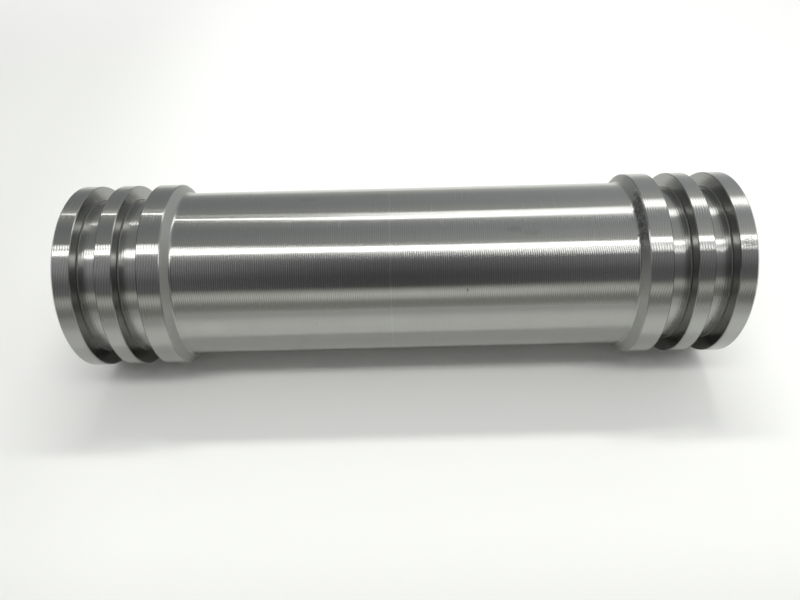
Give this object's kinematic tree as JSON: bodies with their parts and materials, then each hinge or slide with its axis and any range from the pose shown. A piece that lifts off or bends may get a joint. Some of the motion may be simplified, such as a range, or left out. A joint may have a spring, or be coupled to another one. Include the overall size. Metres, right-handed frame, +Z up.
{
  "type": "cnc turned part",
  "caption": "Turned steel bar with a plain round barrel and, at each end, lands parted by square grooves for seal rings.",
  "frame": {"origin": "centre of the lower end face, on the turning axis", "axes": "+Z up the turning axis, from the lower end face to the upper one"},
  "size_m": [0.04, 0.04, 0.14],
  "materials": {
    "turned_steel": "bright turned stainless steel with fine feed marks"
  },
  "bodies": {
    "root": {"turned_bar": "turned_steel"}
  },
  "joints": []
}
